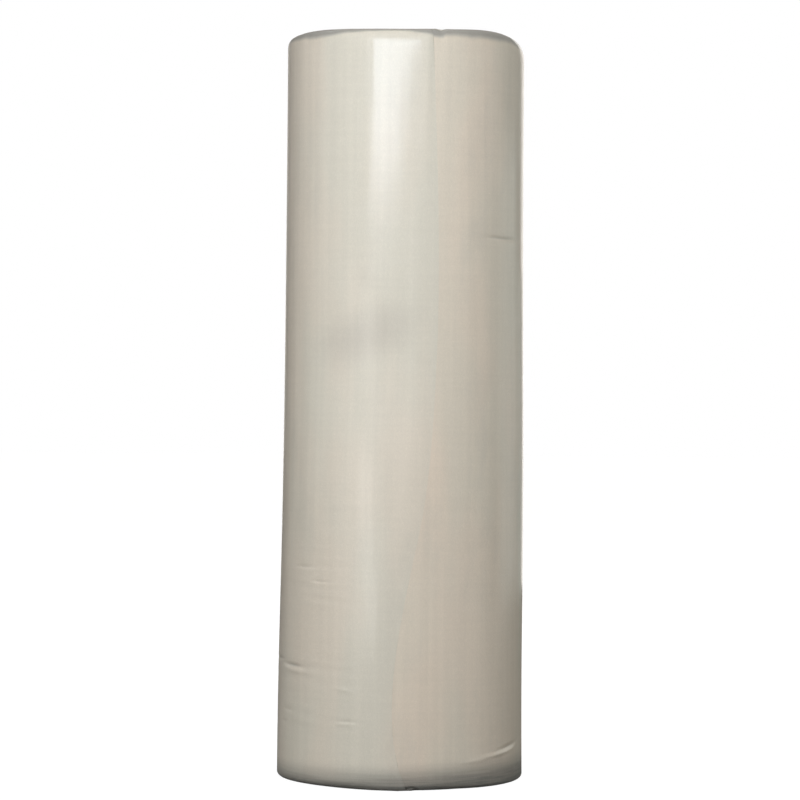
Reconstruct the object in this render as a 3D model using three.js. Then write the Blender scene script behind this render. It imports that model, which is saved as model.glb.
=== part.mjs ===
// A roll of quilt batting standing on its end.
// The web is folded once along its length and wound on itself without a core, so the roll is one
// body: a spiral section whose last turn ends in a low step down the front, with rounded rims.
// Millimetres and degrees, +Z up, the origin at the middle of the end that the roll stands on.
// An azimuth runs from the front, which faces -Y, towards the right, which faces +X.
import * as THREE from 'three';

// Driving dimensions
const ROLL_HEIGHT = 1219; // half of a web 2438 wide
const TOP_RADIUS = 196.5;
const FOOT_SWELL = 7; // the soft roll slumps and grows this much wider towards the floor
const TURN_THICKNESS = 4.6; // the doubled web, as wound
const EYE_RADIUS = 16; // the hollow in the middle of the winding
const EYE_DEPTH = 7;
const END_CROWN = 3; // the top end stands this much proud between its rim and its eye
const SLACK_PITCH = 38; // tight and slack turns follow each other inwards at this distance
const SLACK_RISE = 2.6; // and the slack ones stand this much higher on the top end

// How finely the surface is divided
const COLUMNS = 72;
const ROW_SPACING = 58;
const END_ROW_SPACING = 10;
const RIM_STEPS = 4;
const CREASE_ROW_OFFSET = 7;
const LEAST_ROW_GAP = 5;
const SIDE_MARGIN = 34; // clear of the widest rounding
const FOOT_SHARES = [0.35, 0.7, 0.93];

// The free end of the last turn wanders as it goes down. step is the height of its edge above
// the turn below, and run is how far the edge takes to fall by that much.
const FREE_END = [
  { height: 0, azimuth: 1, step: 3, run: 10 },
  { height: 50, azimuth: -5.6, step: 2.4, run: 22 },
  { height: 113, azimuth: -8.5, step: 2.2, run: 28 },
  { height: 209, azimuth: -7.8, step: 2.2, run: 32 },
  { height: 305, azimuth: -4, step: 2.2, run: 36 },
  { height: 464, azimuth: 4.3, step: 2.2, run: 40 },
  { height: 704, azimuth: 9.8, step: 2.2, run: 38 },
  { height: 912, azimuth: 10.9, step: 2.2, run: 30 },
  { height: 1080, azimuth: 12.2, step: 2, run: 12 },
  { height: ROLL_HEIGHT, azimuth: 12, step: 2.4, run: 7 },
];
const FREE_END_TAPER = 90; // the last turn thins over this length before its edge

// The rims, going round: how far the top edge lies below the full height, and both roundings.
const RIMS = [
  { azimuth: -180, topDrop: 2, topRounding: 16, footRounding: 14 },
  { azimuth: -120, topDrop: 3, topRounding: 12, footRounding: 12 },
  { azimuth: -85, topDrop: 3, topRounding: 9, footRounding: 8 },
  { azimuth: -48, topDrop: 1, topRounding: 10, footRounding: 13 },
  { azimuth: -20, topDrop: 4, topRounding: 11, footRounding: 15 },
  { azimuth: 0, topDrop: 5.5, topRounding: 11, footRounding: 10 },
  { azimuth: 20, topDrop: 3.5, topRounding: 12, footRounding: 15 },
  { azimuth: 44, topDrop: 0, topRounding: 11, footRounding: 9 },
  { azimuth: 85, topDrop: 4, topRounding: 22, footRounding: 7 },
  { azimuth: 130, topDrop: 2, topRounding: 20, footRounding: 15 },
  { azimuth: 180, topDrop: 2, topRounding: 16, footRounding: 14 },
];

// Broad dents and swells, which keep the roll from being evenly round. rise is outwards;
// halfAngle and halfHeight are the reach at which a form has fallen to about a third.
const SWELLS = [
  { azimuth: -20, height: 665, rise: -5, halfAngle: 26, halfHeight: 95 },
  { azimuth: -8, height: 200, rise: 4, halfAngle: 13, halfHeight: 260 },
  { azimuth: 26, height: 230, rise: -2.5, halfAngle: 16, halfHeight: 260 },
  { azimuth: -78, height: 140, rise: 2.5, halfAngle: 34, halfHeight: 260 },
  { azimuth: 8, height: 520, rise: 2.5, halfAngle: 12, halfHeight: 170 },
  { azimuth: 72, height: 560, rise: 2, halfAngle: 30, halfHeight: 330 },
  { azimuth: 118, height: 800, rise: -3, halfAngle: 24, halfHeight: 240 },
  { azimuth: 165, height: 420, rise: 3, halfAngle: 30, halfHeight: 300 },
  { azimuth: 205, height: 860, rise: -3.5, halfAngle: 28, halfHeight: 200 },
  { azimuth: 238, height: 330, rise: -3, halfAngle: 22, halfHeight: 230 },
];

// Creases pressed into the outer turn. tilt is the angle above level, going right.
const CREASES = [
  { azimuth: 57, height: 888, tilt: 0, halfLength: 38, halfWidth: 7, depth: 2 },
  { azimuth: 140, height: 610, tilt: -4, halfLength: 60, halfWidth: 8, depth: 2.6 },
  { azimuth: -52, height: 351, tilt: 0, halfLength: 24, halfWidth: 7, depth: 1.8 },
  { azimuth: -41, height: 329, tilt: 0, halfLength: 22, halfWidth: 7, depth: 1.8 },
  { azimuth: -62, height: 190, tilt: -2, halfLength: 48, halfWidth: 8, depth: 3 },
  { azimuth: -122, height: 240, tilt: 5, halfLength: 55, halfWidth: 8, depth: 3 },
  { azimuth: 50, height: 52, tilt: 5, halfLength: 48, halfWidth: 8, depth: -1.8 },
];

const COTTON = { color: 0xe3ddcf, roughness: 0.9, metalness: 0 };

const radians = THREE.MathUtils.degToRad;

// The difference between two azimuths, brought to within half a turn either way.
function turnBetween(from, to) {
  return THREE.MathUtils.euclideanModulo(to - from + 180, 360) - 180;
}

// A smooth hump that is 1 in the middle and about a third at a distance of 1.
function hump(distance) {
  return Math.exp(-distance * distance);
}

// A smooth curve through one column of a table, read against another column.
function curveThrough(table, along, column) {
  const places = table.map((row) => row[along]);
  const values = table.map((row) => row[column]);
  const curve = new THREE.CubicInterpolant(places, values, 1);
  return (place) => curve.evaluate(place)[0];
}

const endAzimuth = curveThrough(FREE_END, 'height', 'azimuth');
const endStep = curveThrough(FREE_END, 'height', 'step');
const endRun = curveThrough(FREE_END, 'height', 'run');
const topDrop = curveThrough(RIMS, 'azimuth', 'topDrop');
const topRounding = curveThrough(RIMS, 'azimuth', 'topRounding');
const footRounding = curveThrough(RIMS, 'azimuth', 'footRounding');

// The roll's mean radius, which swells towards the foot.
function meanRadius(height) {
  const down = 1 - height / ROLL_HEIGHT;
  return TOP_RADIUS + FOOT_SWELL * down * down;
}

function swellsAt(azimuth, height) {
  return SWELLS.reduce((sum, swell) => {
    const round = turnBetween(swell.azimuth, azimuth) / swell.halfAngle;
    const up = (height - swell.height) / swell.halfHeight;
    return sum + swell.rise * hump(round) * hump(up);
  }, 0);
}

function creasesAt(azimuth, height) {
  return CREASES.reduce((sum, crease) => {
    const right = radians(turnBetween(crease.azimuth, azimuth)) * meanRadius(height);
    const up = height - crease.height;
    const tilt = radians(crease.tilt);
    const along = right * Math.cos(tilt) + up * Math.sin(tilt);
    const across = up * Math.cos(tilt) - right * Math.sin(tilt);
    return sum + crease.depth * hump(along / crease.halfLength) * hump(across / crease.halfWidth);
  }, 0);
}

// The azimuth of one column at a height. The columns start and end at the free end's edge, and
// the face that closes them is that edge.
function columnAzimuth(column, height) {
  const edge = THREE.MathUtils.radToDeg(endRun(height) / meanRadius(height));
  return endAzimuth(height) + edge / 2 + (column / COLUMNS) * (360 - edge);
}

// The winding's radius: a turn's thickness is gained in going once round, and the last turn
// thins to its step before it ends.
function woundRadius(column, height) {
  const turned = column / COLUMNS;
  const beforeEnd = (1 - turned) * 2 * Math.PI * meanRadius(height);
  const thinned = (TURN_THICKNESS - endStep(height)) * hump(beforeEnd / FREE_END_TAPER);
  return meanRadius(height) + TURN_THICKNESS * (turned - 0.5) - thinned;
}

function surfaceRadius(column, height) {
  const azimuth = columnAzimuth(column, height);
  const relief = swellsAt(azimuth, height) - creasesAt(azimuth, height);
  return woundRadius(column, height) + relief;
}

// A point of the surface, drawn in from the side by inset.
function surfacePoint(column, height, inset = 0) {
  const radius = surfaceRadius(column, height) - inset;
  const azimuth = radians(columnAzimuth(column, height));
  return [radius * Math.sin(azimuth), -radius * Math.cos(azimuth), height];
}

// The rim tables are read by azimuth, at the height of the rim.
function rimAt(curve, column, height) {
  return curve(turnBetween(0, columnAzimuth(column, height)));
}

function topHeight(column) {
  return ROLL_HEIGHT - rimAt(topDrop, column, ROLL_HEIGHT);
}

// One point of the rounding at the foot; turn goes from 0, flat on the floor, to 1, upright.
function footRimPoint(column, turn) {
  const rounding = rimAt(footRounding, column, 0);
  const angle = (turn * Math.PI) / 2;
  const height = rounding * (1 - Math.cos(angle));
  return surfacePoint(column, height, rounding * (1 - Math.sin(angle)));
}

// One point of the rounding at the top; turn goes from 0, upright, to 1, level.
function topRimPoint(column, turn) {
  const rounding = rimAt(topRounding, column, ROLL_HEIGHT);
  const angle = (turn * Math.PI) / 2;
  const height = topHeight(column) - rounding * (1 - Math.sin(angle));
  return surfacePoint(column, height, rounding * (1 - Math.cos(angle)));
}

// A point of an end, at a share of the way from its middle to its rim.
function endPoint(rimPoint, share, height) {
  return [rimPoint[0] * share, rimPoint[1] * share, height];
}

// Slack turns stand proud of the tight ones, along a spiral from the eye to the rim.
function slackRise(azimuth, radius) {
  const turns = radius / SLACK_PITCH - azimuth / 360;
  const faded = hump(EYE_RADIUS / radius) * (1 - hump((TOP_RADIUS - radius) / EYE_RADIUS));
  return (SLACK_RISE / 2) * (Math.cos(2 * Math.PI * turns) - 1) * faded;
}

// The top end swells a little between the rim and the eye, and sinks at the eye.
function topEndPoint(column, share) {
  const rimPoint = topRimPoint(column, 1);
  const middleHeight = ROLL_HEIGHT - END_CROWN;
  const level = THREE.MathUtils.lerp(middleHeight, topHeight(column), share * share);
  const crown = END_CROWN * Math.sin(Math.PI * share);
  const radius = share * TOP_RADIUS;
  const eye = EYE_DEPTH * hump(radius / EYE_RADIUS);
  const slack = slackRise(columnAzimuth(column, ROLL_HEIGHT), radius);
  return endPoint(rimPoint, share, Math.min(level + crown, ROLL_HEIGHT) + slack - eye);
}

// Heights of the rows up the side: evenly spaced, with a few more at each crease.
function sideHeights() {
  const span = ROLL_HEIGHT - 2 * SIDE_MARGIN;
  const bays = Math.round(span / ROW_SPACING);
  const even = Array.from({ length: bays + 1 }, (_, bay) => SIDE_MARGIN + (bay * span) / bays);
  const atCreases = CREASES.flatMap(({ height }) => (
    [height - CREASE_ROW_OFFSET, height, height + CREASE_ROW_OFFSET]));
  const kept = atCreases.sort((a, b) => a - b).filter((height, i, all) => (
    i === 0 || height - all[i - 1] >= LEAST_ROW_GAP));
  const clear = even.filter((height) => (
    kept.every((other) => Math.abs(other - height) >= LEAST_ROW_GAP)));
  return [...kept, ...clear].sort((a, b) => a - b);
}

// Every row of the surface, from the foot's middle to the top's, as a function of the column.
function surfaceRows() {
  const rows = [];
  const endRings = Math.round(TOP_RADIUS / END_ROW_SPACING);
  FOOT_SHARES.forEach((share) => {
    rows.push((column) => endPoint(footRimPoint(column, 0), share, 0));
  });
  for (let step = 0; step < RIM_STEPS; step += 1) {
    rows.push((column) => footRimPoint(column, step / RIM_STEPS));
  }
  sideHeights().forEach((height) => {
    rows.push((column) => surfacePoint(column, height));
  });
  for (let step = 1; step <= RIM_STEPS; step += 1) {
    rows.push((column) => topRimPoint(column, step / RIM_STEPS));
  }
  for (let ring = endRings - 1; ring > 0; ring -= 1) {
    rows.push((column) => topEndPoint(column, ring / endRings));
  }
  return rows;
}

// Joins the rows into one closed surface, with a point in the middle of each end.
function rollGeometry() {
  const rows = surfaceRows();
  const around = COLUMNS + 1;
  const positions = [0, 0, 0];
  rows.forEach((row) => {
    for (let column = 0; column < around; column += 1) {
      positions.push(...row(column));
    }
  });
  const topMiddle = positions.length / 3;
  positions.push(0, 0, ROLL_HEIGHT - END_CROWN - EYE_DEPTH);

  const at = (row, column) => 1 + row * around + (column % around);
  const faces = [];
  for (let column = 0; column < around; column += 1) {
    faces.push(0, at(0, column + 1), at(0, column));
    for (let row = 0; row < rows.length - 1; row += 1) {
      const lower = [at(row, column), at(row, column + 1)];
      const upper = [at(row + 1, column), at(row + 1, column + 1)];
      faces.push(lower[0], lower[1], upper[1], lower[0], upper[1], upper[0]);
    }
    faces.push(topMiddle, at(rows.length - 1, column), at(rows.length - 1, column + 1));
  }
  const geometry = new THREE.BufferGeometry();
  geometry.setAttribute('position', new THREE.Float32BufferAttribute(positions, 3));
  geometry.setIndex(faces);
  geometry.computeVertexNormals();
  // The swells leave the solid a little off centre, and the origin goes under its middle.
  geometry.computeBoundingBox();
  const middle = geometry.boundingBox.getCenter(new THREE.Vector3());
  geometry.translate(-middle.x, -middle.y, 0);
  return geometry;
}

const roll = new THREE.Mesh(rollGeometry(), new THREE.MeshStandardMaterial(COTTON));
roll.name = 'batting_roll';

const part = new THREE.Group();
part.add(roll);

export default part;
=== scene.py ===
# %% [markdown]
# # A roll of quilt batting
# Quilt batting is a soft web of bonded cotton fibres. This one is 2.44 m wide: it is folded once
# along its length, which makes it 1.22 m wide and two layers thick, and then wound on itself with
# no tube inside. Stood on its end it is a tall soft column. What makes it look like batting and
# not like a pillar is small: the last turn's free end that wanders down the front, the creases
# pressed into it, the turned-in edges, and the spiral of soft folds on the top.
#
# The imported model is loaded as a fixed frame. It stays in charge of sizes and places, and the
# dressed roll is wound around the same numbers. Metres and degrees, +Z up.

# %% Load the frame
import math

import bpy
import numpy as np
from mathutils import Matrix


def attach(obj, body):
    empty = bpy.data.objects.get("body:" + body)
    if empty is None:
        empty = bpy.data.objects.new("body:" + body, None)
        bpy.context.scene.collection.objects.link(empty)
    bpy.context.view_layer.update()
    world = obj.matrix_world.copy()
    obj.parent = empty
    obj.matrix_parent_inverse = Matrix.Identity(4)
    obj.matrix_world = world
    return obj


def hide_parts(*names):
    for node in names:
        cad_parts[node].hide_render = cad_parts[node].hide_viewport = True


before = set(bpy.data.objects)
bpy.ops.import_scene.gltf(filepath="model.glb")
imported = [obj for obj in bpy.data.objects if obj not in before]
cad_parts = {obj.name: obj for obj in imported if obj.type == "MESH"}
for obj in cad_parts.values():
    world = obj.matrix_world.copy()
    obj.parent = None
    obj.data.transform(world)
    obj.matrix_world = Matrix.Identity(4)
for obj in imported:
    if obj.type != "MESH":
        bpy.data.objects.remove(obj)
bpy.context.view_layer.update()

# %% [markdown]
# ## Curves read from tables
# The free end and the rims are described by short tables, one row for each place where their
# shape changes. A smooth curve has to run through the rows. A cubic between two rows, whose
# slope at each row is the mean of the slopes on both sides, does that without overshooting much.

# %% A smooth curve through a table
FULL_TURN = 360.0


def curve_through(table, column, place):
    """The value of one column of a table at any place along its first column."""
    rows = np.array(table, dtype=float)
    x, y = rows[:, 0], rows[:, column]
    secant = np.diff(y) / np.diff(x)
    slope = np.concatenate([secant[:1], (secant[1:] + secant[:-1]) / 2, secant[-1:]])
    place = np.clip(place, x[0], x[-1])
    i = np.clip(np.searchsorted(x, place, side="right") - 1, 0, len(x) - 2)
    width = x[i + 1] - x[i]
    t = (place - x[i]) / width
    start = (1 + 2 * t) * (1 - t) ** 2 * y[i] + t * (1 - t) ** 2 * width * slope[i]
    finish = t * t * (3 - 2 * t) * y[i + 1] + t * t * (t - 1) * width * slope[i + 1]
    return start + finish


def hump(distance):
    """1 in the middle, about a third at a distance of 1, and soft all the way."""
    return np.exp(-np.square(distance))


def ease(t):
    """Runs from 0 to 1 as t does, and starts and stops gently."""
    t = np.clip(t, 0.0, 1.0)
    return t * t * (3 - 2 * t)


def turn_between(start, end):
    """The way round from one azimuth to another, at most half a turn."""
    return (end - start + FULL_TURN / 2) % FULL_TURN - FULL_TURN / 2


print("from 350 to 10 degrees is", turn_between(350, 10), "degrees")

# %% [markdown]
# ## The roll's own measures
# These are the sizes that the solid has too, give or take a few millimetres at the rims and the
# free end. The roll slumps: its own weight makes the foot 7 mm wider than the top. The top end is
# a little crowned, sinks at its eye in the middle, and has a low spiral of slack turns. An azimuth
# starts at the front and runs towards the right. The free end of the last turn is the line where
# the winding stops; `step` is how high its edge stands above the turn below, and `run` is how far
# it takes to fall to that turn. Where it is sharp, the run is short. Halfway down, the edge has
# felted into the turn below and is only a soft slope.

# %% Sizes of the roll
ROLL_HEIGHT = 1.219
TOP_RADIUS = 0.1965
FOOT_SWELL = 0.007
TURN_THICKNESS = 0.0046
EYE_RADIUS = 0.016
EYE_DEPTH = 0.007
END_CROWN = 0.003
SLACK_PITCH = 0.038
SLACK_RISE = 0.0026

# height, azimuth, step, run
EDGE_AZIMUTH, EDGE_STEP, EDGE_RUN = 1, 2, 3
FREE_END = [
    (0.000, 1.0, 0.0030, 0.010),
    (0.050, -5.6, 0.0024, 0.022),
    (0.113, -8.5, 0.0022, 0.028),
    (0.209, -7.8, 0.0022, 0.032),
    (0.305, -4.0, 0.0022, 0.036),
    (0.464, 4.3, 0.0022, 0.040),
    (0.704, 9.8, 0.0022, 0.038),
    (0.912, 10.9, 0.0022, 0.032),
    (1.080, 11.5, 0.0018, 0.017),
    (1.219, 11.2, 0.0021, 0.008),
]
FREE_END_TAPER = 0.090

# azimuth, how far the top rim lies below the full height, top rounding, foot rounding,
# and how far down the rim is painted in shade
RIM_DROP, TOP_ROUNDING, FOOT_ROUNDING, RIM_SHADE_REACH = 1, 2, 3, 4
RIMS = [
    (-180, 0.0020, 0.016, 0.014, 0.008),
    (-120, 0.0030, 0.012, 0.012, 0.010),
    (-85, 0.0030, 0.009, 0.008, 0.009),
    (-48, 0.0010, 0.010, 0.013, 0.013),
    (-20, 0.0040, 0.015, 0.015, 0.006),
    (0, 0.0050, 0.016, 0.010, 0.005),
    (20, 0.0030, 0.015, 0.014, 0.013),
    (44, 0.0000, 0.012, 0.008, 0.015),
    (85, 0.0040, 0.022, 0.006, 0.015),
    (130, 0.0020, 0.020, 0.015, 0.010),
    (180, 0.0020, 0.016, 0.014, 0.008),
]

# Broad dents and swells: azimuth, height, rise, half angle, half height
SWELLS = [
    (-20, 0.665, -0.0050, 26, 0.095),
    (-8, 0.200, 0.0040, 13, 0.260),
    (26, 0.230, -0.0025, 16, 0.260),
    (-78, 0.140, 0.0025, 34, 0.260),
    (8, 0.520, 0.0025, 12, 0.170),
    (72, 0.560, 0.0020, 30, 0.330),
    (118, 0.800, -0.0030, 24, 0.240),
    (165, 0.420, 0.0030, 30, 0.300),
    (205, 0.860, -0.0035, 28, 0.200),
    (238, 0.330, -0.0030, 22, 0.230),
    (84, 0.080, -0.0028, 28, 0.260),
]


def mean_radius(height):
    """The radius of the roll, which slumps towards the foot."""
    return TOP_RADIUS + FOOT_SWELL * (1 - height / ROLL_HEIGHT) ** 2


def swells_at(azimuth, height):
    """How far the broad swells push the face out, or the dents in."""
    total = np.zeros(np.broadcast(azimuth, height).shape)
    for place, level, rise, half_angle, half_height in SWELLS:
        round_off = hump(turn_between(place, azimuth) / half_angle)
        total += rise * round_off * hump((height - level) / half_height)
    return total


print("roll:", ROLL_HEIGHT, "m tall,", round(2 * (TOP_RADIUS + FOOT_SWELL), 3), "m wide at the foot")

# %% [markdown]
# ## Creases, ripples and bands
# A web that is wound by hand and carried about takes creases. The deep ones are in the solid as
# well. The others are only in the dressed roll: a few short nicks, patches of fine level ripples
# where the web has slid down on itself, most of them low on the left, and upright bands, because
# a wound web never lies quite round but in narrow flats. They could be painted with bump in the
# material, but then the edge of the roll would stay straight, so they are moved into the mesh.
# Each crease is a soft trough (or a ridge, where its depth is below zero) with its own place,
# length, tilt and depth, so no two are alike.

# %% The small relief of the outer turn
# azimuth, height, tilt, half length, half width, depth
CREASES = [
    (54, 0.884, 0, 0.044, 0.0022, 0.0019),
    (19, 0.863, -2, 0.010, 0.0030, -0.0007),
    (140, 0.610, -4, 0.060, 0.0080, 0.0026),
    (-52, 0.351, 0, 0.018, 0.0026, 0.0010),
    (-41, 0.329, -2, 0.015, 0.0026, 0.0011),
    (-78, 0.197, 2, 0.026, 0.0026, 0.0014),
    (-60, 0.190, -2, 0.027, 0.0034, 0.0022),
    (-58, 0.182, -2, 0.024, 0.0040, -0.0012),
    (-28, 0.158, -8, 0.013, 0.0030, -0.0007),
    (-26, 0.108, 0, 0.013, 0.0024, 0.0009),
    (-26, 0.103, 0, 0.012, 0.0024, -0.0008),
    (-64, 0.117, -2, 0.014, 0.0026, 0.0008),
    (-68, 0.097, 2, 0.010, 0.0026, 0.0008),
    (-122, 0.240, 5, 0.055, 0.0080, 0.0030),
    (50, 0.051, 4, 0.036, 0.0036, -0.0014),
    (60, 0.061, 8, 0.030, 0.0040, 0.0014),
    (36, 0.044, 3, 0.024, 0.0034, -0.0008),
    (-150, 0.930, 3, 0.038, 0.0035, 0.0022),
    (122, 0.300, -5, 0.046, 0.0040, 0.0024),
    (172, 0.170, 4, 0.060, 0.0050, 0.0028),
    (-98, 0.720, -3, 0.030, 0.0035, 0.0016),
]
DEEPEST_CREASE = 0.0033

# azimuth, height, half angle, half height, wavelength, height of the ripples
RIPPLES = [
    (-48, 0.300, 34, 0.170, 0.0190, 0.00015),
    (-62, 0.160, 26, 0.110, 0.0240, 0.00019),
    (-30, 0.440, 30, 0.090, 0.0170, 0.00012),
    (150, 0.260, 40, 0.160, 0.0210, 0.00030),
    (-140, 0.520, 36, 0.140, 0.0200, 0.00026),
]
BAND_RISE = 0.00028
BAND_DRIFT = 6

# waves round the roll, drift on the way up, phase, share
BANDS = [
    (67, 1.7, 0.4, 0.30),
    (83, -2.3, 2.1, 0.26),
    (41, 1.1, 4.4, 0.30),
    (23, -0.8, 5.2, 0.34),
]

# Ripples and bands both come and go: this share of them stays, and the rest fades in and out
STEADY, FITFUL = 0.6, 0.4
FADE_PACE, FADE_SPREAD = 5, 11

# How far the line of a ripple wanders, round the roll and up it, and how fast; and how fast it
# breaks off and starts again
WANDER_ROUND, ROUND_PACE = 1.6, 3.1
WANDER_UP, UP_PACE = 0.9, 23
BREAK_ROUND_PACE, BREAK_UP_PACE = 7.3, 61


def creases_at(azimuth, height):
    """The depth of all creases together; where two cross, they go no deeper than one."""
    total = np.zeros(azimuth.shape)
    for place, level, tilt, half_length, half_width, depth in CREASES:
        right = np.radians(turn_between(place, azimuth)) * mean_radius(height)
        up = height - level
        slant, rise = math.cos(math.radians(tilt)), math.sin(math.radians(tilt))
        along = (right * slant + up * rise) / half_length
        across = (up * slant - right * rise) / half_width
        total += depth * hump(along) * hump(across)
    return np.minimum(total, DEEPEST_CREASE)


def ripples_at(azimuth, height):
    """Level waves, whose lines wander up and down and break off here and there."""
    total = np.zeros(azimuth.shape)
    for place, level, half_angle, half_height, wavelength, rise in RIPPLES:
        round_off = turn_between(place, azimuth)
        reach = hump(round_off / half_angle) * hump((height - level) / half_height)
        wobble = WANDER_ROUND * np.sin(np.radians(round_off * ROUND_PACE + place))
        wobble = wobble + WANDER_UP * np.sin(height * UP_PACE)
        wave = np.sin(2 * math.pi * height / wavelength + wobble)
        break_at = np.radians(round_off * BREAK_ROUND_PACE) + height * BREAK_UP_PACE
        broken = STEADY + FITFUL * np.sin(break_at)
        total += rise * reach * wave * broken
    return total


def bands_at(azimuth, height):
    """Upright flats: four waves of unlike widths, which drift a little on the way up."""
    total = np.zeros(azimuth.shape)
    for count, drift, phase, share in BANDS:
        fade = STEADY + FITFUL * np.sin(height * (FADE_PACE + share * FADE_SPREAD) + phase * 2)
        leaning = np.radians(azimuth * count) + drift * height * BAND_DRIFT
        total += share * fade * np.sin(leaning + phase)
    return BAND_RISE * total


print("creases:", len(CREASES), " patches of ripples:", len(RIPPLES))

# %% [markdown]
# ## How a turn lies in the roll
# Every point of the web has a winding number: 1 at the free end, and one less for each turn
# further in. Its radius follows from it at once, because each turn adds one thickness. Two slow
# waves keep the inner turns from being true circles, as hands never wind a roll evenly.
#
# `turns_out` counts the turns that lie outside a place. It steps by one where the free end ends,
# and the edges of the turns need a little way to settle into their new place.

# %% Where the turns lie
EDGE_EASE = 0.022
GAP = 0.00025
SLACK_GAP = 0.0007
FEATHER = 0.0002
INNERMOST = -40.0

# The inner turns are a little oval and a little three-sided, and both shapes twist inwards
OVAL, OVAL_TWIST, OVAL_PHASE = 0.046, 5, 0.8
THREE_SIDED, THREE_SIDED_TWIST = 0.020, 11

# Slack places come and go along the web, and shift a little from turn to turn
SLACK_FROM = 0.35
SLACK_PACE, SLACK_SHIFT = 2.3, 0.7

# How far from the free end the web has felted into the turn below, and how much of the gap that
# closes; and the run of an edge that is still sharp, and how much more makes it quite soft
FELTED_REACH, FELTED = 0.03, 0.8
SHARP_RUN, SOFTENING = 0.005, 0.012


def spread(winding, azimuth):
    """A turn's share of the roll's radius."""
    share = 1 + TURN_THICKNESS * (winding - 0.5) / TOP_RADIUS
    inside = np.clip(share, 0, 1) * (1 - np.clip(share, 0, 1))
    angle = np.radians(azimuth)
    wave = OVAL * np.sin(2 * angle + OVAL_TWIST * share + OVAL_PHASE)
    wave = wave + THREE_SIDED * np.sin(3 * angle - THREE_SIDED_TWIST * share)
    return share + inside * wave


def free_end_azimuth(height):
    """Where the very edge lies: half a run past the middle of the slope."""
    edge = np.degrees(curve_through(FREE_END, EDGE_RUN, height) / mean_radius(height))
    return curve_through(FREE_END, EDGE_AZIMUTH, height) + edge / 2


def azimuth_at(winding, height):
    """The azimuth of a winding number; it isn't wrapped, so it counts the turns too."""
    return free_end_azimuth(height) + FULL_TURN * (winding - 1)


def turns_out(winding):
    """How many turns lie outside, with an eased step at the free end."""
    past_end = winding - (np.ceil(winding) - 1)
    return np.round(1 - np.ceil(winding)) + 1 - ease(past_end / EDGE_EASE)


def slack_gap(winding, azimuth):
    """The air between a turn and the one inside it: wide where slack, none at the felted end."""
    around_it = np.radians(azimuth * 2) + winding * SLACK_SHIFT
    wave = np.sin(winding * SLACK_PACE + 1) * np.sin(around_it)
    slack = SLACK_GAP * np.clip(wave - SLACK_FROM, 0, 1) * ease(-winding - 0.5)
    return GAP * (1 - FELTED * hump((1 - winding) / FELTED_REACH)) + slack


def inner_face(winding, azimuth, height):
    """The radius of a turn's inner face: it lies on the turn below."""
    below = spread(winding - 1, azimuth) * (mean_radius(height) + swells_at(azimuth, height))
    return below + slack_gap(winding, azimuth)


def thickness(winding, azimuth, height):
    """The doubled web's thickness, which runs out to a thin feathered edge at the free end."""
    body = mean_radius(height) + swells_at(azimuth, height)
    full = (spread(winding, azimuth) - spread(winding - 1, azimuth)) * body
    full = full - slack_gap(winding, azimuth)
    to_end = (1 - winding) * 2 * math.pi * mean_radius(height)
    step = curve_through(FREE_END, EDGE_STEP, height)
    run = curve_through(FREE_END, EDGE_RUN, height)
    thinned = full - (full - step) * hump(np.maximum(to_end - run, 0) / FREE_END_TAPER)
    x = np.clip(to_end / run, 0, 1)
    round_edge = np.sqrt(1 - (1 - x) ** 2)
    soft = ease((run - SHARP_RUN) / SOFTENING)
    edge = round_edge + (ease(x) - round_edge) * soft
    return FEATHER + (thinned - FEATHER) * edge


half_hole = float(inner_face(np.array(INNERMOST), np.array(0.0), np.array(ROLL_HEIGHT / 2)))
print("turns:", round(1 - INNERMOST), "and the hole in the middle is",
      round(2000 * half_hole), "mm wide")

# %% [markdown]
# ## How a turn ends at the top and at the foot
# The web was folded along its middle, so at the top each turn ends in a round fold, and at the
# foot in the two raw edges side by side. The outermost turn is pulled in over the rim at both
# ends and hugs its rounding; the turns inside it stand upright below that curl, each as high as
# the rounding leaves room for.
#
# Both ends are described the same way: `inset` is how far a point lies in from the turn's outer
# face, and `depth` how far in from the plane of that end. A cap is a list of points across the
# thickness: the share of the way inwards, and how far it bulges, in halves of the thickness. The
# hidden turns' raw edges need fewer points.

# %% The two ends of the web
# The curl stops this far short of the highest point of the rim's rounding
CURL_END = math.radians(27)
FOLD_CAP = [(0.067, 0.5), (0.25, 0.866), (0.5, 1.0), (0.75, 0.866), (0.933, 0.5)]
RAW_CAP = [
    (0.94, 0.32), (0.75, 0.5), (0.57, 0.34), (0.5, 0.0),
    (0.43, 0.34), (0.25, 0.5), (0.06, 0.32),
]
COARSE_RAW_CAP = [(0.75, 0.5), (0.5, 0.05), (0.25, 0.5)]
FOLD_BULGE, RAW_BULGE = 1.0, 0.5

# The least height of the rim's rows, and how gently the top rim starts to roll in
RIM_CLEAR = 0.004
RIM_LEAD = 0.8

# How far the web's edge creeps up and down, how fast along the winding, and its phase
CREEPS = [(0.0008, 2.7, 0), (0.0005, 7.9, 1), (0.0004, 17, 2)]


def past_curl(out, rounding, thick):
    """0 for a turn that stops under the curl of the outermost one, 1 for one further in."""
    curl_edge = rounding - (rounding - thick) * math.sin(CURL_END) + thick / 2
    return ease(((out + 0.5) * TURN_THICKNESS - curl_edge) / TURN_THICKNESS + 0.5)


def room_below_curl(rounding, thick, inset):
    """The depth at which a turn at that inset ends: under the curl, or past it on the rounding."""
    inset = np.minimum(inset, rounding)
    inside = np.sqrt(np.maximum((rounding - thick) ** 2 - (rounding - inset) ** 2, 0))
    outside = np.sqrt(np.maximum(rounding ** 2 - (rounding - inset) ** 2, 0))
    return rounding - inside, rounding - outside


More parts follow.
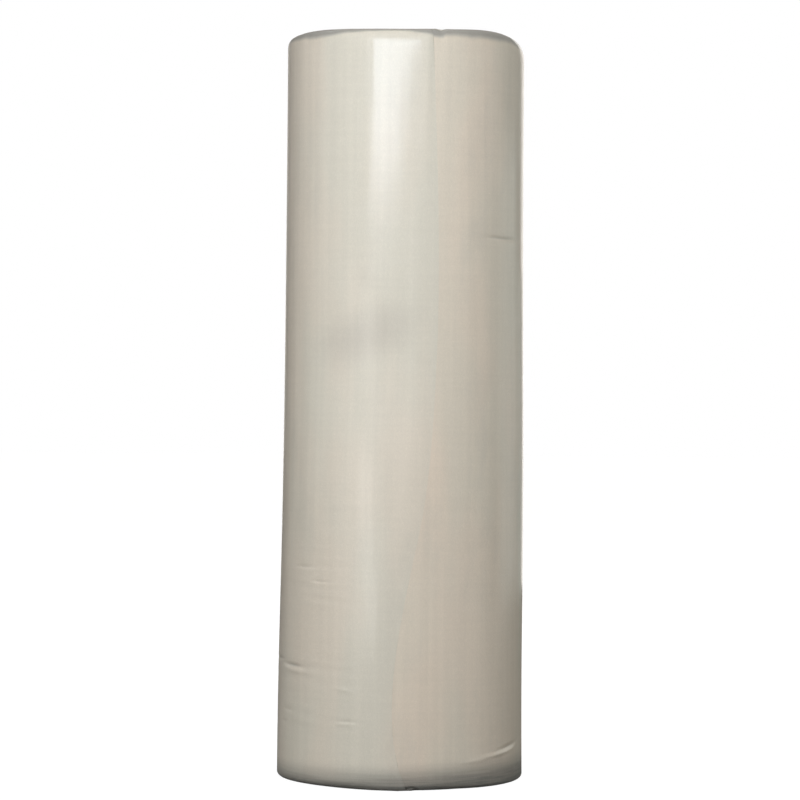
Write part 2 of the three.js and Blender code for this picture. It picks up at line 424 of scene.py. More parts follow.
def end_profile(part, value, rounding, thick, out, level, bulge):
    """Inset and depth of one row of points near an end, for a turn with `out` turns outside."""
    half = thick / 2
    if part == "cap":
        share, rise = value
        radius = rounding - share * thick
        angle = CURL_END
        base = level + (bulge - rise) * half
    else:
        share = 1.0 if part == "inner" else 0.0
        rise = 0.0
        radius = rounding - share * thick
        angle = CURL_END + (math.pi / 2 - CURL_END) * value
        start = level + bulge * half
        base = start + (np.maximum(rounding, start + RIM_CLEAR) - start) * value
    curled_inset = rounding - radius * np.sin(angle) + rise * half * math.cos(CURL_END)
    curled_depth = rounding - radius * np.cos(angle) - rise * half * math.sin(CURL_END)

    up = np.clip(rounding - base, 0, None)
    under = rounding - np.sqrt(np.maximum((rounding - thick) ** 2 - up ** 2, 0))
    on_arc = rounding - np.sqrt(np.maximum(rounding ** 2 - up ** 2, 0))
    room = under + (on_arc - under) * past_curl(out, rounding, thick)
    lean = room + GAP - out * TURN_THICKNESS
    lean = np.where(up > 0, np.clip(lean, 0, half), 0)
    upright_inset = np.maximum(share * thick, lean) if share < 1 else share * thick
    upright = ease(out)
    inset = curled_inset + (upright_inset - curled_inset) * upright
    return inset, curled_depth + (base - curled_depth) * upright


def lead_in(depth, rounding):
    """The top rim starts to roll in gently, well before its round part."""
    return depth + RIM_LEAD * rounding * (depth / rounding) ** 3


def slack_rise(azimuth, radius):
    """Slack turns stand a little proud on the top end, along a spiral of their own."""
    turned = radius / SLACK_PITCH - azimuth / FULL_TURN
    faded = hump(EYE_RADIUS / radius) * (1 - hump((TOP_RADIUS - radius) / EYE_RADIUS))
    return SLACK_RISE / 2 * (np.cos(2 * math.pi * turned) - 1) * faded


def wander(winding):
    """The web's edge doesn't run true: it creeps up and down as the roll is wound."""
    return sum(reach * np.sin(pace * winding + phase) for reach, pace, phase in CREEPS)


def rim(column, azimuth):
    """One column of the rims' table, at any azimuth."""
    return curve_through(RIMS, column, turn_between(0, azimuth))


print("points over a fold:", len(FOLD_CAP), " and under two raw edges:", len(RAW_CAP))

# %% [markdown]
# ## The level at which each turn ends
# The turns near the rim stop under the curl of the outermost one, and the others make up the
# crowned end. Just past the free end, a turn comes out from under the curl and becomes the
# outermost itself. Left alone, it would leave a deep notch in the rim there. Real batting springs
# up as soon as nothing presses on it, so most of the notch is filled.

# %% The level at which each turn ends
NOTCH_TURNS = 3
NOTCH_FILL = 0.72
NOTCH_WIDTH = 0.018
FOOT_LIFT, FOOT_LIFT_PACE = 0.0008, 3.1


def end_level(out, rounding, thick):
    """How deep in from its end's plane a turn stops, where `out` turns lie outside it."""
    under, on_arc = room_below_curl(rounding, thick, (out + 0.5) * TURN_THICKNESS)
    return under + GAP + (on_arc - under - GAP) * past_curl(out, rounding, thick)


def top_end_height(windings, azimuth, top_plane, rounding):
    """The top end is crowned, sunk at its eye, and uneven where turns are slack."""
    radius = spread(windings - 0.5, azimuth) * TOP_RADIUS
    share = np.clip(radius / (TOP_RADIUS - rounding), 0, 1)
    crowned = ROLL_HEIGHT - END_CROWN + (top_plane - ROLL_HEIGHT + END_CROWN) * share ** 2
    crowned = np.minimum(crowned + END_CROWN * np.sin(math.pi * share), ROLL_HEIGHT)
    return crowned + (slack_rise(azimuth, radius) - EYE_DEPTH * hump(radius / EYE_RADIUS))


def past_free_end(windings):
    """The part of a turn since the free end was passed, and how near the outside it is."""
    return windings - np.ceil(windings) + 1, hump(windings / NOTCH_TURNS)


print("notch in the rim: filled by", NOTCH_FILL, "of its depth")

# %% [markdown]
# ## Painted shade and tint that follow the web
# The creases are painted with a little shade, and so is the rolled-in rim, also where the web
# springs up out of the notch. The web that lies just past the free end is a shade warmer than the
# turn that covers the rest. These follow the web and not the room, so each point carries them as
# numbers near 0 and 1, which the material can read by name.

# %% Points of the whole web
TRACES = ("crease_shade", "rim_shade_trace", "past_end")

# In turns: how far past the free end the web is warmer, how far into the notch the rim's painted
# shade reaches, and how soon the small relief sets in
PAST_END_REACH = 0.14
NOTCH_REACH = 0.03
SHOWN_FROM = 0.008

# How far down the rim's painted shade reaches, in depths of the table, and how thick the web has
# to be to show all of the small relief
RIM_SHADE_FADE = 1.5
THIN_WEB = 0.003


def web_points(windings, rows):
    """Carries every row of the web's section round the roll, with the traces that the material paints.
    """
    top, foot = np.full(windings.shape, ROLL_HEIGHT), np.zeros(windings.shape)
    top_azimuth, foot_azimuth = azimuth_at(windings, top), azimuth_at(windings, foot)
    top_thick = thickness(windings, top_azimuth, top)
    foot_thick = thickness(windings, foot_azimuth, foot)
    top_plane = ROLL_HEIGHT - rim(RIM_DROP, top_azimuth)
    top_rounding = rim(TOP_ROUNDING, top_azimuth)
    foot_rounding = rim(FOOT_ROUNDING, foot_azimuth)
    out = turns_out(windings)
    loose = ease(out - 1)
    past_end, freed = past_free_end(windings)

    top_level = end_level(out, top_rounding, top_thick)
    top_level *= 1 - NOTCH_FILL * freed * hump(past_end / NOTCH_WIDTH)
    crowned = top_end_height(windings, top_azimuth, top_plane, top_rounding)
    top_level += top_plane - crowned - loose * wander(windings)
    foot_level = end_level(out, foot_rounding, foot_thick)
    foot_level += loose * np.maximum(FOOT_LIFT * np.sin(FOOT_LIFT_PACE * windings), 0)

    points = np.empty((len(rows), len(windings), 3))
    traces = {name: np.zeros(points.shape[:2]) for name in TRACES}
    traces["past_end"][:] = np.where(windings > 0, hump(windings / PAST_END_REACH), 0)
    own_top = top_plane - ease(out) * lead_in(top_level, top_rounding)
    within_reach = np.where(windings > 0, 1.0, freed * hump(past_end / NOTCH_REACH))
    for i, (place, part, value) in enumerate(rows):
        if place == "top":
            inset, depth = end_profile(
                part, value, top_rounding, top_thick, out, top_level, FOLD_BULGE)
            height = top_plane - lead_in(depth, top_rounding)
        elif place == "foot":
            inset, depth = end_profile(
                part, value, foot_rounding, foot_thick, out, foot_level, RAW_BULGE)
            height = depth
        else:
            inset, height = None, np.full(windings.shape, value)
        azimuth = azimuth_at(windings, height)
        thick = thickness(windings, azimuth, height)
        if inset is None:
            inset = thick if part == "inner" else 0.0
        face = inner_face(windings, azimuth, height) + thick - inset
        if part != "inner":
            across = value[0] if part == "cap" else 0.0
            shown = ease(windings / SHOWN_FROM) * np.clip(thick / THIN_WEB, 0, 1) * (1 - across)
            relief = ripples_at(azimuth, height) + bands_at(azimuth, height)
            creases = creases_at(azimuth, height)
            face += shown * (relief - creases)
            # How deep the creases are here, which the material paints as shade
            traces["crease_shade"][i] = shown * np.clip(creases / DEEPEST_CREASE, 0, 1)
        # How far down the rolled-in rim a point lies, which the material paints as shade
        rim_depths_down = (own_top - height) / rim(RIM_SHADE_REACH, azimuth)
        traces["rim_shade_trace"][i] = within_reach * np.clip(RIM_SHADE_FADE - rim_depths_down, 0, 1)
        angle = np.radians(azimuth)
        points[i] = np.stack([face * np.sin(angle), -face * np.cos(angle), height], axis=-1)
    return points, traces


print("traces that the web carries:", ", ".join(TRACES))

# %% [markdown]
# ## Winding the web
# The web is a grid that Blender adds flat. Its rows become the section of the web, which runs up
# the outer face, over the fold, down the inner face and under the raw edges, and its columns
# follow each other round the roll. Carrying every point of the grid to its place on the roll is
# what sculpting does by hand, and here it keeps the turns from touching. A cloth simulation of
# 27 m of web in 41 turns would take hours and end looser than the real roll.
#
# The grid's first and last rows meet, so they are merged, and the two cut ends are filled.

# %% A helper that winds one piece of the web
MERGE_WITHIN = 1e-7
SMOOTH_BELOW = math.radians(50)


def web_rows(outer_heights, inner_heights, rim_steps, inner_steps, raw_cap):
    """The rows of the web's section, from the raw edges up the outer face and down the inner."""
    rows = [("foot", "cap", value) for value in raw_cap]
    rows += [("foot", "rim", step / rim_steps) for step in range(rim_steps + 1)]
    rows += [("side", "outer", height) for height in outer_heights]
    rows += [("top", "rim", 1 - step / rim_steps) for step in range(rim_steps + 1)]
    rows += [("top", "cap", value) for value in FOLD_CAP]
    rows += [("top", "inner", step / inner_steps) for step in range(inner_steps + 1)]
    rows += [("side", "inner", height) for height in reversed(inner_heights)]
    rows += [("foot", "inner", 1 - step / inner_steps) for step in range(inner_steps + 1)]
    return rows


def wind_web(name, windings, rows, middle=None):
    """Adds a grid, winds it, and closes it. The roll's middle is found from the outer turn."""
    points, traces = web_points(np.asarray(windings), rows)
    if middle is None:
        low, high = points.min(axis=(0, 1)), points.max(axis=(0, 1))
        middle = np.array([(low[0] + high[0]) / 2, (low[1] + high[1]) / 2, 0])
    points -= middle
    across, along = len(rows), len(windings)
    bpy.ops.object.select_all(action="DESELECT")
    bpy.ops.mesh.primitive_grid_add(x_subdivisions=along - 1, y_subdivisions=across, size=1)
    web = bpy.context.active_object
    web.name = web.data.name = name
    flat = np.empty(len(web.data.vertices) * 3)
    web.data.vertices.foreach_get("co", flat)
    flat = flat.reshape(-1, 3)
    column = np.rint((flat[:, 0] + 0.5) * (along - 1)).astype(int)
    row = np.rint((flat[:, 1] + 0.5) * across).astype(int) % across
    web.data.vertices.foreach_set("co", points[row, column].ravel())
    for trace, amounts in traces.items():
        carried = web.data.attributes.new(trace, "FLOAT", "POINT")
        carried.data.foreach_set("value", amounts[row, column])
    web.data.update()

    bpy.ops.object.mode_set(mode="EDIT")
    bpy.ops.mesh.select_all(action="SELECT")
    bpy.ops.mesh.remove_doubles(threshold=MERGE_WITHIN)
    bpy.ops.mesh.select_all(action="DESELECT")
    bpy.ops.mesh.select_mode(type="EDGE")
    bpy.ops.mesh.select_non_manifold(extend=False)
    bpy.ops.mesh.fill(use_beauty=True)
    bpy.ops.mesh.select_all(action="SELECT")
    bpy.ops.mesh.normals_make_consistent(inside=False)
    bpy.ops.mesh.select_mode(type="VERT")
    bpy.ops.object.mode_set(mode="OBJECT")
    bpy.ops.object.shade_smooth_by_angle(angle=SMOOTH_BELOW)
    triangles = sum(len(face.vertices) - 2 for face in web.data.polygons)
    print(name, "columns", along, "rows", across, "triangles", triangles)
    return web, middle


def web_length(windings):
    """The length of web between the first and the last winding, along the middle of its height."""
    height = np.full(windings.shape, ROLL_HEIGHT / 2)
    azimuth = azimuth_at(windings, height)
    radius = inner_face(windings, azimuth, height) + TURN_THICKNESS / 2
    return float(np.sum((radius[1:] + radius[:-1]) / 2 * np.radians(np.diff(azimuth))))


# %% [markdown]
# ## The outer turn
# This is the only turn whose face is seen, so it gets fine rows: one every 6 mm, and one every
# 1.6 mm through each narrow crease. Columns are 5 mm apart, and 1 to 4 mm where the free end
# thins to a feathered edge. The turn reaches a little way in under the free end, where no one can
# see that it is a piece of its own.

# %% Wind the outer turn
OVERLAP = 0.08
SIDE_FROM, SIDE_TO = 0.034, 1.171
ROW_STEP = 0.0060
FINE_ROW_STEP = 0.0016
CLOSEST_ROWS = 0.9 * FINE_ROW_STEP
NARROW_CREASE, CREASE_REACH = 0.0062, 1.3
COLUMN_STEP = 0.0052
ONCE_ROUND_AND_UNDER = 1.02
RIM_STEPS, HIDDEN_RIM_STEPS = 7, 3
HIDDEN_ROWS = 26

# Distances from the free end's edge
NEAR_END = [
    0.0, 0.0007, 0.0016, 0.0028, 0.0042, 0.006, 0.008,
    0.0105, 0.0135, 0.017, 0.021, 0.0255, 0.030,
]
THINNING_FROM, THINNING_TO, THINNING_STEP = 0.034, 0.080, 0.004


def outer_rows():
    """The heights of the rows on the outer face, which are closer together at narrow creases."""
    heights = list(np.linspace(SIDE_FROM, SIDE_TO, round((SIDE_TO - SIDE_FROM) / ROW_STEP) + 1))
    for _, level, tilt, half_length, half_width, _ in CREASES:
        if half_width < NARROW_CREASE:
            rise = half_length * abs(math.sin(math.radians(tilt)))
            reach = half_width * CREASE_REACH + rise
            heights += list(np.arange(level - reach, level + reach, FINE_ROW_STEP))
    kept = []
    for height in sorted(heights):
        clear = not kept or height - kept[-1] > CLOSEST_ROWS
        if SIDE_FROM <= height <= SIDE_TO and clear:
            kept.append(float(height))
    return kept


def outer_columns():
    """The winding numbers of the columns, from under the free end once round to its edge."""
    around = 2 * math.pi * TOP_RADIUS
    near_end = NEAR_END + list(np.arange(THINNING_FROM, THINNING_TO, THINNING_STEP))
    columns = [1 - distance / around for distance in near_end]
    count = round(around * ONCE_ROUND_AND_UNDER / COLUMN_STEP)
    columns += list(np.linspace(1 - THINNING_TO / around, -OVERLAP, count)[1:])
    return np.array(sorted(columns))


outer_windings = outer_columns()
inner_wall = [float(height) for height in np.linspace(SIDE_FROM, SIDE_TO, HIDDEN_ROWS)]
outer_turn, roll_middle = wind_web(
    "outer_turn", outer_windings,
    web_rows(outer_rows(), inner_wall, RIM_STEPS, HIDDEN_RIM_STEPS, RAW_CAP))
outer_length = web_length(outer_windings)
print("outer turn:", round(outer_length, 3), "m of web")

# %% [markdown]
# ## The inner turns
# All the rest of the web is one spiral of forty turns. Only its ends can be seen, between the
# folds at the top and between the raw edges underneath, so its walls get by with a few rows and
# its points go into the ends.

# %% Wind the inner turns
COLUMNS_PER_TURN = 58
SEAM = 0.0002
OUTWARD_ROWS, INWARD_ROWS = [0.05, 0.61, 1.17], [0.61]
inner_windings = np.linspace(
    INNERMOST, -OVERLAP - SEAM, round((-OVERLAP - INNERMOST) * COLUMNS_PER_TURN) + 1)
inner_turns, _ = wind_web(
    "inner_turns", inner_windings,
    web_rows(OUTWARD_ROWS, INWARD_ROWS, 1, 1, COARSE_RAW_CAP), roll_middle)
inner_length = web_length(inner_windings)
print("inner turns:", round(inner_length, 2), "m of web")

# %% [markdown]
# ## What batting looks like up close
# Bonded cotton is matt and slightly uneven: the web is thicker in some places than in others,
# so it is cloudy, a little warmer here and a little greyer there. Millions of fine fibres give
# it a nap far smaller than the creases, and single long ones curl over it. Where the outer turn
# has been pulled tight and rubbed, the fibres lie flat and take a soft satin sheen, and a strong
# light shows there as a pale streak.
#
# All of it can be made of noises that are stretched, twisted or cut down to a part of their
# range. Each of the helpers below makes one such step, in the object's own metres, so the pattern
# stays on the web and needs no image.

# %% Helpers for materials
def add_node(tree, kind, **sockets):
    """Adds a node and fills in its sockets; an underscore stands for a blank in their names."""
    made = tree.nodes.new(kind)
    for key, value in sockets.items():
        made.inputs[key.replace("_", " ")].default_value = value
    return made


def noise(tree, place, scale, detail, roughness, stretch=(1, 1, 1), twist=0.0):
    """A noise in the object's own metres; a small number in `stretch` draws it out that way."""
    mapping = add_node(tree, "ShaderNodeMapping", Scale=stretch)
    texture = add_node(tree, "ShaderNodeTexNoise", Scale=scale, Detail=detail, Roughness=roughness,
                       Distortion=twist)
    tree.links.new(place, mapping.inputs["Vector"])
    tree.links.new(mapping.outputs["Vector"], texture.inputs["Vector"])
    return texture.outputs["Fac"]


def fill(tree, socket, value):
    """Puts a value into a socket, or links another node's output to it."""
    if isinstance(value, bpy.types.NodeSocket):
        tree.links.new(value, socket)
    else:
        socket.default_value = value


def blend_colours(tree, mode, amount, first, second):
    """Mixes two colours; each argument is a value or another node's output."""
    made = tree.nodes.new("ShaderNodeMix")
    made.data_type = "RGBA"
    made.blend_type = mode
    fill(tree, made.inputs[0], amount)
    fill(tree, made.inputs[6], first)
    fill(tree, made.inputs[7], second)
    return made.outputs[2]


def ramp(tree, value, low, high, bottom=0.0, top=1.0):
    """Stretches a value between low and high to run from bottom to top."""
    made = add_node(tree, "ShaderNodeMapRange", From_Min=low, From_Max=high, To_Min=bottom, To_Max=top)
    made.interpolation_type = "SMOOTHSTEP"
    tree.links.new(value, made.inputs["Value"])
    return made.outputs["Result"]


def calculate(tree, operation, *values):
    """One step of arithmetic; each value is a number or another node's output."""
    made = tree.nodes.new("ShaderNodeMath")
    made.operation = operation
    for socket, value in zip(made.inputs, values):
        fill(tree, socket, value)
    return made.outputs["Value"]


def curling_lines(tree, place, scale, stretch):
    """Thin lines that curl like fibres: they run where a twisted noise passes its middle value."""
    value = noise(tree, place, scale, detail=1.0, roughness=0.5, stretch=stretch, twist=1.6)
    off_middle = calculate(tree, "ABSOLUTE", calculate(tree, "SUBTRACT", value, 0.5))
    return ramp(tree, off_middle, low=0.003, high=0.022, bottom=1.0, top=0.0)


def trace(tree, name):
    """A number that every point of the web carries."""
    made = tree.nodes.new("ShaderNodeAttribute")
    made.attribute_name = name
    return made.outputs["Fac"]


# %% [markdown]
# ## The colour of the cotton
# The base is one slow noise that runs from grey to warm, held halfway back towards plain cotton.
# A second noise clouds it with the darker tone of thin web, and one broad patch of painted shade
# lies aslant on the front, on the upper half of the dent there. The web past the free end has its
# warmer tint.

# %% The cotton's own colour
COTTON = (0.730, 0.653, 0.523, 1)
COTTON_GREY = (0.684, 0.640, 0.528, 1)
COTTON_WARM = (0.764, 0.656, 0.530, 1)
COTTON_THIN_AND_SHADED = (0.618, 0.556, 0.456, 1)
PAST_END_TINT = (1.035, 0.992, 0.967, 1)
PLAIN_SHARE = 0.50

# Where the broad patch of painted shade lies, how far it reaches and how it slants
SHADE_PATCH_PLACE = (-0.059, -0.186, 0.724)
SHADE_PATCH_REACH = (0.125, 0.125, 0.060)
SHADE_PATCH_SLANT = math.radians(-22)

batting = bpy.data.materials.new("batting_cotton")
batting.use_nodes = True
tree = batting.node_tree
shader = tree.nodes["Principled BSDF"]
place = tree.nodes.new("ShaderNodeTexCoord").outputs["Object"]

warm_patches = noise(tree, place, scale=9.0, detail=2.0, roughness=0.45, stretch=(1, 1, 0.35))
warmth = ramp(tree, warm_patches, low=0.36, high=0.64)
colour = blend_colours(tree, "MIX", warmth, COTTON_GREY, COTTON_WARM)
colour = blend_colours(tree, "MIX", PLAIN_SHARE, colour, COTTON)
colour = blend_colours(tree, "MULTIPLY", trace(tree, "past_end"), colour, PAST_END_TINT)
cloudiness = noise(tree, place, scale=17.0, detail=4.0, roughness=0.55, stretch=(1, 1, 0.45))
clouds = ramp(tree, cloudiness, low=0.50, high=0.78, bottom=0.0, top=0.35)
colour = blend_colours(tree, "MIX", clouds, colour, COTTON_THIN_AND_SHADED)

# The patch of painted shade on the front, on the upper half of the dent there
shade_patch_place = add_node(tree, "ShaderNodeMapping", Location=SHADE_PATCH_PLACE, Rotation=(0, SHADE_PATCH_SLANT, 0),
                      Scale=SHADE_PATCH_REACH)
shade_patch_place.vector_type = "TEXTURE"
tree.links.new(place, shade_patch_place.inputs["Vector"])
from_middle = tree.nodes.new("ShaderNodeVectorMath")
from_middle.operation = "LENGTH"
tree.links.new(shade_patch_place.outputs["Vector"], from_middle.inputs[0])
shade_patch = ramp(tree, from_middle.outputs["Value"], low=0.10, high=1.0, bottom=0.92, top=0.0)
colour = blend_colours(tree, "MIX", shade_patch, colour, COTTON_THIN_AND_SHADED)
print("cotton:", COTTON[:3], " thin web:", COTTON_THIN_AND_SHADED[:3])

# %% [markdown]
# ## Painted shade
# The foot is painted darker, as shade near the floor: most of all at the very bottom, more so on
# the right, and broken into level streaks. The rolled-in rim is painted grey as shade, along a
# line that wavers, and the creases are painted with a little shade. The last two are read from
# the traces that the web carries.

# %% Painted shade at the foot, the rim and the creases
# The colours of painted shade: on the rim and in the creases, and at the foot
COTTON_SHADED = (0.330, 0.310, 0.270, 1)
FOOT_SHADED = (0.190, 0.180, 0.155, 1)
FOOT_SHADE_HEIGHT = 0.050
FOOT_SHADE_SLANT = 0.042

# Painted shade at the foot: darker towards the floor, more so on the right, in level streaks
split = tree.nodes.new("ShaderNodeSeparateXYZ")
tree.links.new(place, split.inputs["Vector"])
foot_shade_level = calculate(tree, "MULTIPLY_ADD", split.outputs["X"], -FOOT_SHADE_SLANT, split.outputs["Z"])
foot_shade = ramp(tree, foot_shade_level, low=0.001, high=FOOT_SHADE_HEIGHT, bottom=1.0, top=0.0)
streak_noise = noise(tree, place, scale=9.0, detail=3.0, roughness=0.6, stretch=(1, 1, 26))
shade_streaks = ramp(tree, streak_noise, low=0.35, high=0.65, bottom=0.88, top=1.06)
foot_shade = calculate(tree, "MULTIPLY", foot_shade, shade_streaks)
colour = blend_colours(tree, "MIX", foot_shade, colour, FOOT_SHADED)

# Painted shade on the rolled-in rim, along a line that wavers
rim_noise = noise(tree, place, scale=15.0, detail=2.0, roughness=0.5, stretch=(1, 1, 0.4))
rim_wobble = ramp(tree, rim_noise, low=0.30, high=0.70, bottom=-0.16, top=0.16)
rim_line = calculate(tree, "ADD", trace(tree, "rim_shade_trace"), rim_wobble)
rim_painted_shade = ramp(tree, rim_line, low=0.15, high=0.90, bottom=0.0, top=0.92)
colour = blend_colours(tree, "MIX", rim_painted_shade, colour, COTTON_SHADED)
# Painted shade in the creases, read from the trace that the web carries
crease_shade = ramp(tree, trace(tree, "crease_shade"), low=0.12, high=0.80, bottom=0.0, top=0.45)
colour = blend_colours(tree, "MIX", crease_shade, colour, COTTON_SHADED)
print("soil: up to", FOOT_SHADE_HEIGHT, "m above the floor")

# %% [markdown]
# ## Fibres
# The nap is the finest noise. Two nets of curling lines lie over it, one that runs up and one
# that runs round, like the long fibres that a carding machine lays. They change the tone very
# little, and two more noises change it still less: one drawn out upright, for painted light and
# shade on the narrow flats of the winding, and one drawn out level, for the lines in which the web
# was carded.

# %% Fibres, upright flats and level lines
LONG_FIBRE_SHARE, CROSS_FIBRE_SHARE = 0.30, 0.22

fine_nap = noise(tree, place, scale=620.0, detail=3.0, roughness=0.6, stretch=(1, 1, 0.45))
long_fibres = curling_lines(tree, place, scale=210.0, stretch=(1, 1, 0.5))
cross_fibres = curling_lines(tree, place, scale=150.0, stretch=(0.5, 0.5, 1))
fibres = calculate(tree, "MULTIPLY_ADD", long_fibres, LONG_FIBRE_SHARE, fine_nap)
fibres = calculate(tree, "MULTIPLY_ADD", cross_fibres, CROSS_FIBRE_SHARE, fibres)
fibre_tone = ramp(tree, fibres, low=0.30, high=0.95, bottom=0.935, top=1.01)
# Painted light and shade of the narrow upright flats, a faint upright streaking of the tone
upright = noise(tree, place, scale=78.0, detail=2.0, roughness=0.5, stretch=(1, 1, 0.02))
upright_flat_shade = ramp(tree, upright, low=0.32, high=0.68, bottom=0.982, top=1.014)
level = noise(tree, place, scale=150.0, detail=2.0, roughness=0.6, stretch=(0.06, 0.06, 1))
level_lines = ramp(tree, level, low=0.32, high=0.68, bottom=0.990, top=1.006)
fibre_tone = calculate(tree, "MULTIPLY", fibre_tone, upright_flat_shade)
fibre_tone = calculate(tree, "MULTIPLY", fibre_tone, level_lines)

# The tone is one number, so all three channels take it
fibre_grey = tree.nodes.new("ShaderNodeCombineColor")
for channel in ("Red", "Green", "Blue"):
    tree.links.new(fibre_tone, fibre_grey.inputs[channel])
colour = blend_colours(tree, "MULTIPLY", 1.0, colour, fibre_grey.outputs["Color"])
tree.links.new(colour, shader.inputs["Base Color"])
print("fibres: long ones", LONG_FIBRE_SHARE, "and cross ones", CROSS_FIBRE_SHARE, "of the nap")

# %% [markdown]
# ## Nap and satin
# The nap and the small lumps in the web are bump, since they are too small for the mesh. The
# satin is a coat: a second, smoother reflection above the matt fibres. It has a bump of its own,
# which is flatter, because rubbing has laid the fibres down.

# %% Nap and satin
SPECULAR = 0.25
COAT_WEIGHT, COAT_ROUGHNESS = 0.52, 0.14
SHEEN_WEIGHT, SHEEN_ROUGHNESS = 0.06, 0.6
COAT_FIBRE_SHARE = 0.5

pressed = noise(tree, place, scale=40.0, detail=3.0, roughness=0.5)
roughness = ramp(tree, pressed, low=0.35, high=0.65, bottom=0.58, top=0.72)
tree.links.new(roughness, shader.inputs["Roughness"])

lump_height = noise(tree, place, scale=95.0, detail=4.0, roughness=0.6, stretch=(1, 1, 0.6))
nap = add_node(tree, "ShaderNodeBump", Strength=0.30, Distance=0.0006)
tree.links.new(fibres, nap.inputs["Height"])
lumps = add_node(tree, "ShaderNodeBump", Strength=0.38, Distance=0.0012)
tree.links.new(lump_height, lumps.inputs["Height"])
tree.links.new(nap.outputs["Normal"], lumps.inputs["Normal"])
tree.links.new(lumps.outputs["Normal"], shader.inputs["Normal"])
flattened = add_node(tree, "ShaderNodeBump", Strength=0.10, Distance=0.0008)
coat_height = calculate(tree, "MULTIPLY_ADD", fibres, COAT_FIBRE_SHARE, lump_height)
tree.links.new(coat_height, flattened.inputs["Height"])
tree.links.new(flattened.outputs["Normal"], shader.inputs["Coat Normal"])

shader.inputs["Specular IOR Level"].default_value = SPECULAR
shader.inputs["Coat Weight"].default_value = COAT_WEIGHT
shader.inputs["Coat Roughness"].default_value = COAT_ROUGHNESS
shader.inputs["Sheen Weight"].default_value = SHEEN_WEIGHT
shader.inputs["Sheen Roughness"].default_value = SHEEN_ROUGHNESS

for web in (outer_turn, inner_turns):
    web.data.materials.clear()
    web.data.materials.append(batting)
print("material:", batting.name, "with", len(tree.nodes), "nodes")

# %% [markdown]
# ## Hand the pieces to the frame
# Both pieces are the one web, so both are attached to the roll's root, and the solid roll is
# hidden. The web is 1.22 m wide as folded, which is half the width of the cut web.

# %% Hand the pieces to the frame
for web, length in [(outer_turn, outer_length), (inner_turns, inner_length)]:
    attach(web, "root")
    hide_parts("batting_roll")

# %% [markdown]
# ## Floor and backdrop
# The studio is white all round. The floor is a disc that looks almost white to the camera, yet
# throws only a little light back, so that the roll darkens where it curves in to the floor. The
# sky is plain white to the camera too, and a dim, slightly warm fill to everything else.

# %% Floor
FLOOR_RADIUS = 30.0
FLOOR_CORNERS = 96
FLOOR_GREY = (0.15, 0.15, 0.145, 1)
FLOOR_GLOW = 0.95
WHITE = (1, 1, 1, 1)
bpy.ops.object.select_all(action="DESELECT")
bpy.ops.mesh.primitive_circle_add(vertices=FLOOR_CORNERS, radius=FLOOR_RADIUS, fill_type="NGON")
floor = bpy.context.active_object
floor.name = "studio_floor"
floor_paint = bpy.data.materials.new("floor_white")
floor_paint.use_nodes = True
tree = floor_paint.node_tree
tree.nodes.clear()
seen = tree.nodes.new("ShaderNodeLightPath").outputs["Is Camera Ray"]
plain = add_node(tree, "ShaderNodeBsdfDiffuse", Color=FLOOR_GREY)
lit = add_node(tree, "ShaderNodeEmission", Color=WHITE, Strength=FLOOR_GLOW)
both = tree.nodes.new("ShaderNodeAddShader")
tree.links.new(plain.outputs["BSDF"], both.inputs[0])
tree.links.new(lit.outputs["Emission"], both.inputs[1])
choice = tree.nodes.new("ShaderNodeMixShader")
tree.links.new(seen, choice.inputs["Fac"])
tree.links.new(plain.outputs["BSDF"], choice.inputs[1])
tree.links.new(both.outputs["Shader"], choice.inputs[2])
surface = tree.nodes.new("ShaderNodeOutputMaterial")
tree.links.new(choice.outputs["Shader"], surface.inputs["Surface"])
floor.data.materials.append(floor_paint)
print("floor:", FLOOR_RADIUS, "m in radius")

# %% Sky
WORLD_FILL = 0.36
WARM_LIGHT = (1.03, 1.0, 0.955, 1)
world = bpy.data.worlds.new("studio")
bpy.context.scene.world = world
world.use_nodes = True
tree = world.node_tree
tree.nodes.clear()
seen = tree.nodes.new("ShaderNodeLightPath").outputs["Is Camera Ray"]
glow = add_node(tree, "ShaderNodeBackground", Color=WARM_LIGHT, Strength=WORLD_FILL)
white = add_node(tree, "ShaderNodeBackground", Color=WHITE, Strength=1.0)
choice = tree.nodes.new("ShaderNodeMixShader")
tree.links.new(seen, choice.inputs["Fac"])
tree.links.new(glow.outputs["Background"], choice.inputs[1])
tree.links.new(white.outputs["Background"], choice.inputs[2])
surface = tree.nodes.new("ShaderNodeOutputWorld")
tree.links.new(choice.outputs["Shader"], surface.inputs["Surface"])
bpy.context.scene.view_settings.view_transform = "Standard"
print("sky: fill", WORLD_FILL)

# %% [markdown]
# ## The lights
# One big softbox, the key, hangs high on the left of the camera. Its diffuse light makes the left
# side pale and lets the right side fall away, and its mirror image in the satin of the outer turn
# is the bright streak near the top. The streak is straight on its left, slanted on its right and
# softer below, so the key is too: its lower edge slants and glows less. A small wing on its right
# carries the streak's upper corner on. A softbox like this is a sheet of light with four corners,
# which the camera itself doesn't see.
#
# The key is a little cool and the others are a little warm, so the cotton looks warmer where it
# curves out of the key's light. The two on the right are less red, or the shade there would turn
# brown. A low box lifts the left of the foot. A black card that stands close on the left keeps
# that edge dark, and a broad box behind lights the last few millimetres of both edges.

# %% Softboxes
COOL_LIGHT = (0.92, 1.0, 1.12, 1)
SHADE_LIGHT = (0.92, 1.0, 0.955, 1)
DIMMED = 0.15


